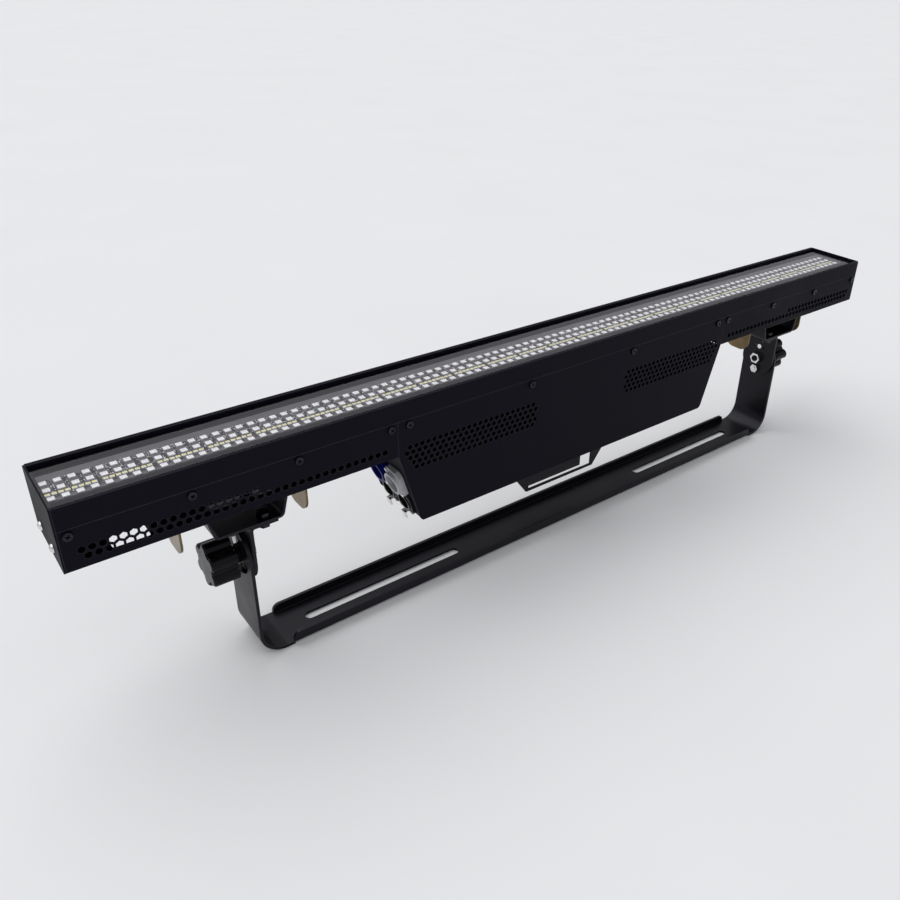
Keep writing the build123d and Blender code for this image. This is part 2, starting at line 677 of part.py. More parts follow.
def fan_frame(side):
    """Square fan frame under the fins, with a spider that carries the motor."""
    plane = z_plane(side * FAN_X, 0, FIN_TIP - FAN_THICK)
    frame = extrude(plane * RectangleRounded(FAN_SIZE, FAN_SIZE, FAN_CORNER), FAN_THICK)
    frame -= rod(plane, FAN_BORE_R, 0, FAN_THICK)
    frame += rod(plane, FAN_HUB_R, 0, FAN_BASE)
    reach = FAN_BORE_R + FAN_TIP_GAP
    for angle in (45, 165, 285):
        arm = Pos(reach / 2, 0) * Rectangle(reach, FAN_ARM)
        frame += extrude(plane * (Rot(0, 0, angle) * arm), FAN_BASE)
    frame += rod(plane, FAN_PIN_R, 0, FAN_THICK / 2)
    return frame


def fan_rotor(side):
    """Hub with pitched blades that turns on the frame's pin."""
    low = FAN_BASE + FAN_TIP_GAP
    high = FAN_THICK - FAN_TIP_GAP
    plane = z_plane(side * FAN_X, 0, FIN_TIP - FAN_THICK)
    rotor = rod(plane, FAN_HUB_R, low, high)
    tip = FAN_BORE_R - FAN_TIP_GAP
    middle = (low + high) / 2
    chord = (high - low - FAN_BLADE_THICK) / math.sin(math.radians(FAN_BLADE_TILT))
    root = FAN_HUB_R / 2
    blades = []
    for i in range(FAN_BLADES):
        blade = Rot(FAN_BLADE_TILT, 0, 0) * Box(tip, chord, FAN_BLADE_THICK)
        blades.append(Rot(0, 0, i * 360 / FAN_BLADES) * Pos(root + tip / 2, 0, middle) * blade)
    sweep_space = rod(Plane.XY, tip, low, high)
    rotor += plane * ((Part() + blades) & sweep_space)
    rotor -= rod(plane, FAN_PIN_R + RUNNING_GAP, low, FAN_THICK / 2 + FAN_TIP_GAP)
    return rotor


# ---------------------------------------------------------------- suspension
def keyhole(x, z, sheet):
    """Cutter for a quarter-turn opening through a level sheet."""
    length = CAM_LENGTH + 2 * SLIDE_GAP
    shape = SlotOverall(length, CAM_WIDTH + 2 * SLIDE_GAP) + Circle(WING_STUD_R + SLIDE_GAP)
    return extrude(z_plane(x, YOKE_Y, z) * shape, sheet)


def hat_bracket(side):
    """Omega bracket: two flanges against the bar and a dropped floor."""
    half = [(HAT_REACH, BAR_FLOOR), (HAT_TOP_HALF, BAR_FLOOR), (HAT_FLOOR_HALF, HAT_FLOOR_TOP)]
    points = [(HAT_X + x, z) for x, z in half] + [(HAT_X - x, z) for x, z in half[::-1]]
    section = sheet_section(points, HAT_SHEET, HAT_BEND)
    hat = extrude(Plane.XZ.offset(-YOKE_Y - HAT_WIDTH / 2) * section, HAT_WIDTH)
    for x in (HAT_X - WING_SPREAD, HAT_X + WING_SPREAD):
        hat -= keyhole(x, BAR_FLOOR - HAT_SHEET, HAT_SHEET)
    for plane in bracket_bolt_planes():
        hat -= rod(plane, BRACKET_BOLT_R + HOLE_GAP, -HAT_SHEET, HAT_SHEET)
    return hat if side > 0 else mirror(hat, Plane.YZ)


def bracket_bolt_planes():
    """Level planes under the right hat bracket's floor, at its two bolts."""
    spread = BRACKET_BOLT_SPREAD / 2
    return [z_plane(BRACKET_BOLT_X, YOKE_Y + y, HAT_UNDERSIDE) for y in (-spread, spread)]


def bracket_bolts():
    """Bolts and nuts that hold the swivel plates under the hat brackets."""
    bolts = []
    for plane in bracket_bolt_planes():
        bolt = hexagon(plane, BRACKET_HEX, -SWIVEL_SHEET - BRACKET_HEAD, -SWIVEL_SHEET)
        bolt += rod(plane, BRACKET_BOLT_R, -SWIVEL_SHEET, HAT_SHEET + BRACKET_NUT + THREAD_PROUD)
        bolt += hexagon(plane, BRACKET_HEX, HAT_SHEET, HAT_SHEET + BRACKET_NUT)
        bolts += both_sides(bolt)
    return Compound(children=bolts)


def guide_heights():
    """Heights of the two guide bolts over the pivot at rest."""
    return GUIDE_RADIUS, -GUIDE_RADIUS


def swivel_plate(side):
    """Angle that hangs under the hat bracket and carries the pivot."""
    width = SWIVEL_WIDTH / 2
    low = PIVOT_Z - width
    faces = [(SWIVEL_OUTER, low), (SWIVEL_OUTER, HAT_UNDERSIDE), (SWIVEL_OUTER - FOOT_LENGTH, HAT_UNDERSIDE)]
    section = sheet_section(faces, SWIVEL_SHEET, SWIVEL_BEND)
    plate = extrude(Plane.XZ.offset(-YOKE_Y - width) * section, SWIVEL_WIDTH)
    pivot = x_plane(1, SWIVEL_INNER, YOKE_Y, PIVOT_Z)
    corners = extrude(pivot * Pos(0, -width / 2) * Rectangle(SWIVEL_WIDTH, width), SWIVEL_SHEET)
    plate -= corners - rod(pivot, width, 0, SWIVEL_SHEET)
    plate -= rod(pivot, STUD_R + RUNNING_GAP, 0, SWIVEL_SHEET)
    for height in guide_heights():
        guide = x_plane(1, SWIVEL_INNER, YOKE_Y, PIVOT_Z + height)
        plate -= rod(guide, GUIDE_BOLT_R + RUNNING_GAP, 0, SWIVEL_SHEET)
    for y in (-SPARE_HOLE_Y, SPARE_HOLE_Y):
        spare = x_plane(1, SWIVEL_INNER, YOKE_Y + y, PIVOT_Z + GUIDE_RADIUS)
        plate -= rod(spare, SPARE_HOLE_R, 0, SWIVEL_SHEET)
    for plane in bracket_bolt_planes():
        plate -= rod(plane, BRACKET_BOLT_R + HOLE_GAP, -SWIVEL_SHEET, 0)
    return plate if side > 0 else mirror(plate, Plane.YZ)


def guide_bolts():
    """Bright bolts that ride in the arc slots: the upper two end flush, the lower two have nuts."""
    bolts = []
    head = YOKE_OUTER + SLIDE_GAP
    nut = SWIVEL_INNER - GUIDE_HEAD
    for height in guide_heights():
        plane = x_plane(1, 0, YOKE_Y, PIVOT_Z + height)
        bolt = hexagon(plane, GUIDE_HEX, head, head + GUIDE_HEAD)
        if height > 0:
            bolt += rod(plane, GUIDE_BOLT_R, SWIVEL_INNER, head)
        else:
            bolt += rod(plane, GUIDE_BOLT_R, nut - THREAD_PROUD, head)
            bolt += hexagon(plane, GUIDE_HEX, nut, SWIVEL_INNER)
        bolts += both_sides(bolt)
    return Compound(children=bolts)


def pivot_nuts():
    """Bright nuts of the clamp studs, on the inner side of the swivel plates."""
    plane = x_plane(1, SWIVEL_INNER, YOKE_Y, PIVOT_Z)
    nut = hexagon(plane, PIVOT_HEX, -PIVOT_NUT, 0) - rod(plane, STUD_R + RUNNING_GAP, -PIVOT_NUT, 0)
    return Compound(children=both_sides(nut))


def pivot_washers():
    """Friction washers between the swivel plates and the arms."""
    plane = x_plane(1, SWIVEL_OUTER, YOKE_Y, PIVOT_Z)
    thick = SWIVEL_GAP - RUNNING_GAP
    washer = rod(plane, WASHER_R, 0, thick) - rod(plane, STUD_R + RUNNING_GAP, 0, thick)
    return Compound(children=both_sides(washer))


def knob(side, turn):
    """Lobed clamp knob with its hub and stud; one lobe points this many degrees up from level."""
    plane = x_plane(side, 0, YOKE_Y, PIVOT_Z)
    inner = YOKE_OUTER + KNOB_STAND
    lobe_circle = KNOB_R - KNOB_LOBE_R
    outline = Circle(KNOB_CORE_R)
    for i in range(KNOB_LOBES):
        outline += Pos(*polar(lobe_circle, turn + i * 360 / KNOB_LOBES)) * Circle(KNOB_LOBE_R)
    grip = extrude(plane.offset(inner) * outline, KNOB_LENGTH)
    outer = inner + KNOB_LENGTH
    rim = grip.edges().filter_by(lambda e: abs(abs(e.center().X) - outer) < RUNNING_GAP)
    grip = chamfer(rim, KNOB_EDGE)
    grip += rod(plane, KNOB_HUB_R, YOKE_OUTER + SLIDE_GAP, inner)
    grip += rod(plane, STUD_R, SWIVEL_INNER - PIVOT_NUT - THREAD_PROUD, inner)
    return grip


def wing(x):
    """Quarter-turn fastener: a flat wing, its collar and a cam over the bar's floor."""
    top = BAR_FLOOR - HAT_SHEET - RUNNING_GAP
    low = top - WING_HEIGHT
    plane = z_plane(x, YOKE_Y, 0)
    outline = RectangleRounded(WING_WIDTH, WING_HEIGHT, WING_ROUND)
    outline += Pos(0, WING_HEIGHT / 4) * Rectangle(WING_WIDTH, WING_HEIGHT / 2)
    grip_plane = Plane(origin=(x, YOKE_Y, low + WING_HEIGHT / 2), x_dir=(0, 1, 0), z_dir=(1, 0, 0))
    wing_plate = extrude(grip_plane.offset(-WING_SHEET / 2) * outline, WING_SHEET)
    cam_low = BAR_FLOOR + SHEET + SLIDE_GAP
    fastener = wing_plate + rod(plane, WING_COLLAR_R, top - WING_COLLAR, top)
    fastener += rod(plane, WING_STUD_R, top, cam_low)
    fastener += Pos(x, YOKE_Y, cam_low + CAM_THICK / 2) * Box(CAM_WIDTH, CAM_LENGTH, CAM_THICK)
    return fastener


def yoke():
    """Floor bracket folded from strip: two arms and a base with turned-up flanges."""
    top = PIVOT_Z + ARM_END_R
    faces = [(-YOKE_OUTER, top), (-YOKE_OUTER, 0), (YOKE_OUTER, 0), (YOKE_OUTER, top)]
    strip = sheet_section(faces, YOKE_SHEET, YOKE_BEND)
    body = extrude(Plane.XZ.offset(-YOKE_Y - YOKE_WIDTH / 2) * strip, YOKE_WIDTH)
    body -= block((-FLANGE_HALF, FLANGE_HALF), (-YOKE_WIDTH, YOKE_WIDTH), (0, YOKE_SHEET))
    edge = YOKE_WIDTH / 2
    trough = [(YOKE_Y - edge, FLANGE_HEIGHT), (YOKE_Y - edge, 0), (YOKE_Y + edge, 0), (YOKE_Y + edge, FLANGE_HEIGHT)]
    base = extrude(Plane.YZ.offset(-FLANGE_HALF) * sheet_section(trough, YOKE_SHEET, FLANGE_BEND), 2 * FLANGE_HALF)
    ends = base.edges().filter_by(Axis.Y).group_by(Axis.Z)[-1]
    base = fillet(ends, FLANGE_ROUND)
    body += base
    slot = SlotOverall(BASE_SLOT_LENGTH, BASE_SLOT_WIDTH)
    for side in (-1, 1):
        body -= extrude(z_plane(side * BASE_SLOT_X, YOKE_Y, 0) * slot, YOKE_SHEET)
        body -= arm_cutters(side)
    return body


def arm_cutters(side):
    """What an arm loses: its top corners, the stud hole and the two arc slots."""
    pivot = x_plane(side, YOKE_INNER, YOKE_Y, PIVOT_Z)
    corners = Pos(0, ARM_END_R / 2) * Rectangle(YOKE_WIDTH, ARM_END_R)
    outline = corners - Circle(ARM_END_R)
    outline += Circle(STUD_R + HOLE_GAP)
    for middle in (90, 270):
        arc = CenterArc((0, 0), GUIDE_RADIUS, middle - GUIDE_SWING, 2 * GUIDE_SWING)
        outline += SlotArc(arc, 2 * (GUIDE_BOLT_R + HOLE_GAP))
    return extrude(pivot * outline, YOKE_SHEET)


# ---------------------------------------------------------------- all nodes
def all_parts():
    """Every separate piece by its node name."""
    made = {
        "lamp_extrusion": lamp_extrusion(),
        "window_cover": window_cover(),
        "window_gasket": window_gasket(),
        "led_board": led_board(),
        "end_plate_screws": end_plate_screws(),
        "cover_screws": cover_screws(),
        "box_cover": box_cover(),
        "socket_screws": socket_screws(),
        "control_panel": control_panel(),
        "panel_guard": panel_guard(),
        "power_supply": power_supply(),
        "driver_board": driver_board(),
        "bracket_bolts": bracket_bolts(),
        "guide_bolts": guide_bolts(),
        "pivot_nuts": pivot_nuts(),
        "pivot_washers": pivot_washers(),
        "yoke": yoke(),
    }
    for name in ("power_outlet", "power_inlet"):
        made[name] = socket(name, POWER_FLANGE, POWER_CORNER, POWER_STAND, POWER_RING, POWER_MOUTH_R)
    for end in ("in", "out"):
        made[f"data_socket_{end}"] = data_socket(f"data_socket_{end}")
        made[f"latch_tab_{end}"] = latch_tab(f"data_socket_{end}")
    for i in range(BUTTON_COUNT):
        made[f"menu_button_{i + 1}"] = menu_button(i)
    for name, side in SIDES.items():
        made[f"end_plate_{name}"] = end_plate(side)
        made[f"bar_cover_{name}"] = bar_cover(side)
        made[f"box_side_{name}"] = box_side(side)
        made[f"fan_frame_{name}"] = fan_frame(side)
        made[f"fan_rotor_{name}"] = fan_rotor(side)
        made[f"hat_bracket_{name}"] = hat_bracket(side)
        made[f"swivel_plate_{name}"] = swivel_plate(side)
        made[f"knob_{name}"] = knob(side, KNOB_TURNS[name])
        made[f"wing_{name}_inner"] = wing(side * (HAT_X - WING_SPREAD))
        made[f"wing_{name}_outer"] = wing(side * (HAT_X + WING_SPREAD))
    return made


os.makedirs("parts", exist_ok=True)
for name, shape in all_parts().items():
    export_step(shape, f"parts/{name}.step")
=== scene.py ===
import json
import math
import random

import bmesh
import bpy
from mathutils import Matrix, Vector


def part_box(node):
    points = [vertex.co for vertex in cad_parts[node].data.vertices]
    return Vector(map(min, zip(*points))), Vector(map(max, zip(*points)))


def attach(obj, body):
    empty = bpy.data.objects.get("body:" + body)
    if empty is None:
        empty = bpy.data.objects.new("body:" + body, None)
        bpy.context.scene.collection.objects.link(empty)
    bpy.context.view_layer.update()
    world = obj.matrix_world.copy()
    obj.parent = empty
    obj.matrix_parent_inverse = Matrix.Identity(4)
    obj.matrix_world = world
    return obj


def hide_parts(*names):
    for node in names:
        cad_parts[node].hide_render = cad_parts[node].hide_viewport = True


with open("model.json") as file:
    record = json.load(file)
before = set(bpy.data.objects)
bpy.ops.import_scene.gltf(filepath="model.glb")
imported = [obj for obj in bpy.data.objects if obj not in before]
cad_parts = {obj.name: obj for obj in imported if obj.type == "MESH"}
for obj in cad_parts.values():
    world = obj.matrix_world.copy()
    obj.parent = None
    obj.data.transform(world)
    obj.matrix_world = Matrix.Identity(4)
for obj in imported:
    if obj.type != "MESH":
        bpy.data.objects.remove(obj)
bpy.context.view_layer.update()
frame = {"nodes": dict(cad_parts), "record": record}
NODES = frame["nodes"]
MM = 0.001
random.seed(7)

# ---------------------------------------------------------------- sizes, in metres
ROUND_SIDES = 28

# Board and its columns of large LEDs; rows are measured from the board's front edge
BOARD_THICK = 1.6 * MM
BOARD_EDGE = 0.1 * MM
COLUMN_COUNT = 100
COLUMN_PITCH = 10.0 * MM
FIRST_COLUMN = 5.5 * MM
LED_ROWS = (2.8 * MM, 16.2 * MM, 27.2 * MM)
LED_SIZE = 5.2 * MM
LED_HEIGHT = 1.3 * MM
LED_EDGE = 0.35 * MM
LED_SKEW_DEGREES = 1.2

# The lens lies in a shallow well in the LED's case
LENS_R = 1.95 * MM
LENS_DEPTH = 0.3 * MM
LENS_CROWN = 0.2 * MM
LENS_RIM = 0.03 * MM
LENS_SHOULDER = (0.45 * LENS_R, 0.8 * LENS_CROWN)
WELL_R = 1.05 * LENS_R
WELL_FLOOR_R = 0.86 * LENS_R
LEAD_PITCH = 0.32 * LED_SIZE
LEAD_RISE = 0.22 * LED_HEIGHT
LEAD_SIZE = (0.9 * MM, 0.5 * MM, 0.4 * LED_HEIGHT)

# Row of small LEDs, in groups that are each some columns wide
SMALL_ROW = 9.4 * MM
SMALL_SIZE = (3.5 * MM, 2.9 * MM)
SMALL_HEIGHT = 0.9 * MM
SMALL_EDGE = 0.12 * MM
SMALL_LENS_SIZE = (0.72 * SMALL_SIZE[0], 0.70 * SMALL_SIZE[1], 0.1 * MM)
SMALL_PITCH = 4.6 * MM
SMALL_PER_GROUP = 8
GROUP_COLUMNS = 4

# Tracks between the columns, and the chips on them
TRACK_WIDTH = 3.3 * MM
TRACK_THICK = 0.04 * MM
TRACK_SPAN = (4.5 * MM, 29.5 * MM)
CHIP_SIZES = (
    (1.0 * MM, 0.6 * MM, 0.35 * MM),
    (1.6 * MM, 0.8 * MM, 0.45 * MM),
    (0.7 * MM, 0.5 * MM, 0.3 * MM),
)
CHIP_OFFSET = (0.5 * MM, 1.2 * MM)
CHIP_SCATTER = 0.4 * MM
CHIP_TURNED_SHARE = 0.5
# Each row's distance from the board's front edge, and the share of its places that hold a chip
CHIP_ROWS = (
    (6.2 * MM, 0.6),
    (12.6 * MM, 0.9),
    (14.6 * MM, 0.8),
    (16.6 * MM, 0.8),
    (18.6 * MM, 0.8),
    (20.8 * MM, 0.9),
    (22.8 * MM, 0.8),
    (25.0 * MM, 0.8),
    (27.2 * MM, 0.8),
    (29.4 * MM, 0.7),
    (31.2 * MM, 0.7),
)

# Cover screws: pan heads with a rounded rim on a thin dark disc, a painted contact shadow
PAN_R = 3.8 * MM
PAN_HIGH = 2.0 * MM
PAN_ROUND = 0.9 * MM
PAN_STEPS = 6
SHADOW_DISC_R = 4.1 * MM
SHADOW_DISC_HIGH = 0.12 * MM
SHADOW_DISC_EDGE = 0.8 * SHADOW_DISC_HIGH

# End plate screws: low domes
DOME_R = 3.8 * MM
DOME_HIGH = 3.2 * MM
DOME_STEPS = 8

# Cross recess, and the limits within which a pan head's faces are taken as its recess, which is painted
# near-black as painted shade
CROSS_LENGTH = 4.4 * MM
CROSS_WIDTH = 1.1 * MM
CROSS_DEPTH = 1.1 * MM
CROSS_TAPER = 0.75
RECESS_TOP = PAN_HIGH - 0.02 * MM
RECESS_FLOOR = PAN_HIGH - 1.05 * CROSS_DEPTH
RECESS_R = 0.52 * CROSS_LENGTH


# ---------------------------------------------------------------- node helpers
def new_material(name):
    """A new node material and its principled shader."""
    mat = bpy.data.materials.new(name)
    mat.use_nodes = True
    return mat, mat.node_tree.nodes["Principled BSDF"]


def add(mat, kind, **inputs):
    """A node in a material, with its input values; an underscore stands for a space."""
    node = mat.node_tree.nodes.new(kind)
    for key, value in inputs.items():
        node.inputs[key.replace("_", " ")].default_value = value
    return node


def join(mat, source, target):
    """A link between two sockets."""
    mat.node_tree.links.new(source, target)


def noise(mat, scale, detail, rough):
    """Object-space noise; its factor output."""
    coords = add(mat, "ShaderNodeTexCoord")
    node = add(mat, "ShaderNodeTexNoise", Scale=scale, Detail=detail, Roughness=rough)
    join(mat, coords.outputs["Object"], node.inputs["Vector"])
    return node.outputs["Fac"]


def spread(mat, factor, low, high, start=0.3, end=0.7):
    """Maps a factor to a range of values."""
    node = add(mat, "ShaderNodeMapRange", From_Min=start, From_Max=end, To_Min=low, To_Max=high)
    join(mat, factor, node.inputs["Value"])
    return node.outputs["Result"]


def blend_colours(mat, factor, first, second):
    """Mix of two colours, each a tuple or a socket, by a factor."""
    node = mat.node_tree.nodes.new("ShaderNodeMix")
    node.data_type = "RGBA"
    join(mat, factor, node.inputs["Factor"])
    for name, value in (("A", first), ("B", second)):
        socket = next(s for s in node.inputs if s.name == name and s.type == "RGBA")
        if isinstance(value, tuple):
            socket.default_value = (*value, 1.0)
        else:
            join(mat, value, socket)
    return next(s for s in node.outputs if s.type == "RGBA")


def cloudy(mat, cloud, first, second):
    """A colour that drifts between two colours with a noise."""
    return blend_colours(mat, spread(mat, cloud, 0.0, 1.0), first, second)


def scaled(colour, factor):
    """A colour made lighter or darker by a factor."""
    return tuple(c * factor for c in colour)


def bump(mat, height, strength, distance):
    """Bump normal from a height socket."""
    node = add(mat, "ShaderNodeBump", Strength=strength, Distance=distance)
    join(mat, height, node.inputs["Height"])
    return node.outputs["Normal"]


def edge_mask(mat, radius):
    """1 along convex and concave edges, 0 on flats."""
    bevel = add(mat, "ShaderNodeBevel", Radius=radius)
    bevel.samples = 6
    geometry = add(mat, "ShaderNodeNewGeometry")
    dot = add(mat, "ShaderNodeVectorMath")
    dot.operation = "DOT_PRODUCT"
    join(mat, bevel.outputs["Normal"], dot.inputs[0])
    join(mat, geometry.outputs["Normal"], dot.inputs[1])
    return spread(mat, dot.outputs["Value"], 1.0, 0.0, start=0.9, end=0.998)


def painted_hollow_shade(mat, low, high):
    """Painted shade: high on open faces and low in hollows a few millimetres deep."""
    hollow = add(mat, "ShaderNodeAmbientOcclusion", Distance=6.0 * MM)
    hollow.samples = 6
    return spread(mat, hollow.outputs["AO"], low, high, start=0.35, end=0.8)


# ---------------------------------------------------------------- kinds of material
def coated_metal(name, colour, edge_highlight, roughness, grain, specular):
    """Powder coat: fine orange-peel grain, cloudy gloss, a painted highlight along edges and painted shade
    that dulls the gloss in hollows.
    """
    mat, shader = new_material(name)
    cloud = noise(mat, scale=14.0, detail=5.0, rough=0.6)
    fine = noise(mat, scale=grain, detail=3.0, rough=0.6)
    body = cloudy(mat, cloud, colour, scaled(colour, 1.5))
    # Painted highlight: edges take the lighter edge colour.
    highlight_mask = edge_mask(mat, radius=0.4 * MM)
    join(mat, blend_colours(mat, highlight_mask, body, edge_highlight), shader.inputs["Base Color"])
    join(mat, spread(mat, cloud, roughness - 0.06, roughness + 0.08), shader.inputs["Roughness"])
    join(mat, bump(mat, fine, strength=0.45, distance=0.07 * MM), shader.inputs["Normal"])
    # Painted shade: the gloss is dimmed in hollows.
    join(mat, painted_hollow_shade(mat, specular * 0.15, specular), shader.inputs["Specular IOR Level"])
    shader.inputs["Specular Tint"].default_value = (0.92, 0.90, 1.0, 1.0)
    return mat


def moulded(name, colour, roughness, grain, specular=0.22):
    """Moulded plastic with a fine spark-eroded texture."""
    mat, shader = new_material(name)
    cloud = noise(mat, scale=60.0, detail=4.0, rough=0.6)
    fine = noise(mat, scale=grain, detail=2.0, rough=0.5)
    lighter = tuple(min(1.0, c * 1.25 + 0.004) for c in colour)
    join(mat, cloudy(mat, cloud, colour, lighter), shader.inputs["Base Color"])
    join(mat, spread(mat, cloud, roughness - 0.07, roughness + 0.07), shader.inputs["Roughness"])
    join(mat, bump(mat, fine, strength=0.3, distance=0.05 * MM), shader.inputs["Normal"])
    shader.inputs["Specular IOR Level"].default_value = specular
    return mat


def plated(name, colour, dull, roughness, scratch=900.0):
    """Plated steel: cloudy tint, fine scratches and uneven gloss."""
    mat, shader = new_material(name)
    cloud = noise(mat, scale=90.0, detail=5.0, rough=0.65)
    fine = noise(mat, scale=scratch, detail=6.0, rough=0.7)
    join(mat, cloudy(mat, cloud, colour, dull), shader.inputs["Base Color"])
    join(mat, spread(mat, fine, roughness * 0.7, roughness * 1.5), shader.inputs["Roughness"])
    join(mat, bump(mat, fine, strength=0.12, distance=0.02 * MM), shader.inputs["Normal"])
    shader.inputs["Metallic"].default_value = 1.0
    return mat


def clear_sheet(name):
    """Clear cover: light passes straight through, with a Fresnel gloss on its outer faces."""
    mat, shader = new_material(name)
    smear = noise(mat, scale=9.0, detail=6.0, rough=0.65)
    gloss = add(mat, "ShaderNodeBsdfGlossy", Color=(1.0, 0.96, 1.0, 1.0))
    join(mat, spread(mat, smear, 0.08, 0.12), gloss.inputs["Roughness"])
    through = add(mat, "ShaderNodeBsdfTransparent", Color=(0.995, 0.995, 1.0, 1.0))
    fresnel = add(mat, "ShaderNodeFresnel", IOR=1.75)
    geometry = add(mat, "ShaderNodeNewGeometry")
    outer = spread(mat, geometry.outputs["Backfacing"], 1.0, 0.0, start=0.0, end=1.0)
    share = add(mat, "ShaderNodeMath")
    share.operation = "MULTIPLY"
    join(mat, fresnel.outputs["Fac"], share.inputs[0])
    join(mat, outer, share.inputs[1])
    mix = add(mat, "ShaderNodeMixShader")
    join(mat, share.outputs["Value"], mix.inputs["Fac"])
    join(mat, through.outputs["BSDF"], mix.inputs[1])
    join(mat, gloss.outputs["BSDF"], mix.inputs[2])
    join(mat, mix.outputs["Shader"], mat.node_tree.nodes["Material Output"].inputs["Surface"])
    mat.node_tree.nodes.remove(shader)
    return mat


def led_white(name, colour, roughness):
    """White or yellow moulded LED part with slight differences of tint."""
    mat, shader = new_material(name)
    cloud = noise(mat, scale=400.0, detail=2.0, rough=0.5)
    join(mat, cloudy(mat, cloud, colour, scaled(colour, 0.86)), shader.inputs["Base Color"])
    join(mat, spread(mat, cloud, roughness - 0.1, roughness + 0.1), shader.inputs["Roughness"])
    return mat


# ---------------------------------------------------------------- materials
# Each coat's edge colour is a painted highlight along its edges.
BODY = coated_metal(
    "body_coat", colour=(0.0036, 0.0032, 0.0066), edge_highlight=(0.062, 0.059, 0.072),
    roughness=0.52, grain=1400.0, specular=0.07,
)
BRACKET = coated_metal(
    "bracket_coat", colour=(0.0036, 0.0033, 0.0054), edge_highlight=(0.045, 0.043, 0.05),
    roughness=0.36, grain=1100.0, specular=0.24,
)
GLASS = clear_sheet("window_clear")
SEAL = moulded("seal_rubber", (0.006, 0.006, 0.007), roughness=0.75, grain=700.0, specular=0.15)
BOARD = moulded("board_resist", (0.098, 0.095, 0.102), roughness=0.42, grain=300.0)
TRACKS = moulded("board_tracks", (0.030, 0.029, 0.033), roughness=0.5, grain=900.0, specular=0.1)
CHIP_WHITE = moulded("chip_white", (0.62, 0.62, 0.64), roughness=0.4, grain=900.0)
LED_CASE = led_white("led_case", (0.99, 0.99, 1.0), roughness=0.40)
# The lens is a little greyer than the case: partly its own faint tint, partly painted shade on its dome.
LED_LENS = led_white("led_lens", (0.92, 0.92, 0.93), roughness=0.2)
SMALL_CASE = led_white("small_case", (0.94, 0.94, 0.92), roughness=0.45)
SMALL_LENS = led_white("small_lens", (0.90, 0.82, 0.22), roughness=0.3)
CHIP_DARK = moulded("chip_dark", (0.012, 0.012, 0.014), roughness=0.4, grain=900.0)
CHIP_TAN = moulded("chip_tan", (0.20, 0.18, 0.17), roughness=0.4, grain=900.0)
TIN = plated("tin", (0.80, 0.80, 0.81), dull=(0.62, 0.62, 0.64), roughness=0.3)
BRIGHT = plated("bright_steel", (0.86, 0.85, 0.86), dull=(0.62, 0.60, 0.62), roughness=0.14)
BLACK_STEEL = plated("black_steel", (0.038, 0.037, 0.046), dull=(0.014, 0.014, 0.018), roughness=0.18)
# Near-black material for painted shade: the screws' cross recesses and the painted contact shadow under
# their heads.
PAINTED_SCREW_SHADE = moulded("screw_painted_shade", (0.0015, 0.0015, 0.002), roughness=0.8, grain=900.0, specular=0.05)
# The wings' gold is darkened well below bright brass as painted shade from the bar above them.
GOLD = plated("wing_gold", (0.20, 0.145, 0.072), dull=(0.14, 0.10, 0.06), roughness=0.24, scratch=120.0)
KNOB = moulded("knob_nylon", (0.0018, 0.0017, 0.0030), roughness=0.25, grain=600.0, specular=0.12)
SOCKET_BLACK = moulded("socket_black", (0.005, 0.005, 0.006), roughness=0.38, grain=800.0)
SOCKET_BLUE = moulded("socket_blue", (0.001, 0.006, 0.12), roughness=0.32, grain=800.0, specular=0.08)
SOCKET_GREY = moulded("socket_grey", (0.42, 0.42, 0.44), roughness=0.38, grain=800.0, specular=0.4)
PANEL = moulded("panel_black", (0.020, 0.019, 0.024), roughness=0.42, grain=700.0)
# The case colour is kept near-black as painted shade inside the box, seen through its vents; its edge colour
# is a painted highlight.
SUPPLY = coated_metal(
    "supply_case", colour=(0.004, 0.004, 0.0045), edge_highlight=(0.01, 0.01, 0.011),
    roughness=0.6, grain=900.0, specular=0.06,
)
GREEN = moulded("board_green", (0.003, 0.02, 0.007), roughness=0.5, grain=500.0, specular=0.1)
FAN = moulded("fan_black", (0.0025, 0.0025, 0.003), roughness=0.55, grain=500.0, specular=0.08)

SLOT_MATERIALS = {
    "body_paint": BODY,
    "bracket_paint": BRACKET,
    "window": GLASS,
    "seal": SEAL,
    "led_board": BOARD,
    "bright_steel": BRIGHT,
    "black_steel": BLACK_STEEL,
    "wing_gold": GOLD,
    "knob_black": KNOB,
    "socket_black": SOCKET_BLACK,
    "socket_blue": SOCKET_BLUE,
    "socket_grey": SOCKET_GREY,
    "panel_black": PANEL,
    "supply_case": SUPPLY,
    "board_green": GREEN,
    "fan_black": FAN,
}
for part in frame["record"]["subparts"]:
    mesh = NODES[part["node"]].data
    mesh.materials.clear()
    mesh.materials.append(SLOT_MATERIALS[part["material_slot"]])


# ---------------------------------------------------------------- mesh helpers
def finished_mesh(name, bm):
    """A mesh from a bmesh, which is freed."""
    mesh = bpy.data.meshes.new(name)
    bm.to_mesh(mesh)
    bm.free()
    return mesh


def mesh_object(name, bm, materials, body):
    """A scene piece from a bmesh, riding a body, with its material slot."""
    mesh = finished_mesh(name, bm)
    for mat in materials:
        mesh.materials.append(mat)
    obj = bpy.data.objects.new(name, mesh)
    bpy.context.scene.collection.objects.link(obj)
    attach(obj, body)
    return obj


def add_box(bm, centre, size, edge=0.0, material=0):
    """A box in a bmesh, with bevelled edges where asked."""
    place = Matrix.Translation(centre) @ Matrix.Diagonal((*size, 1.0))
    made = bmesh.ops.create_cube(bm, size=1.0, matrix=place)
    faces = {f for v in made["verts"] for f in v.link_faces}
    if edge:
        edges = {e for v in made["verts"] for e in v.link_edges}
        bevel = bmesh.ops.bevel(bm, geom=list(edges), offset=edge, segments=2, profile=0.5, affect="EDGES")
        faces |= set(bevel["faces"])
    for face in faces:
        if face.is_valid:
            face.material_index = material


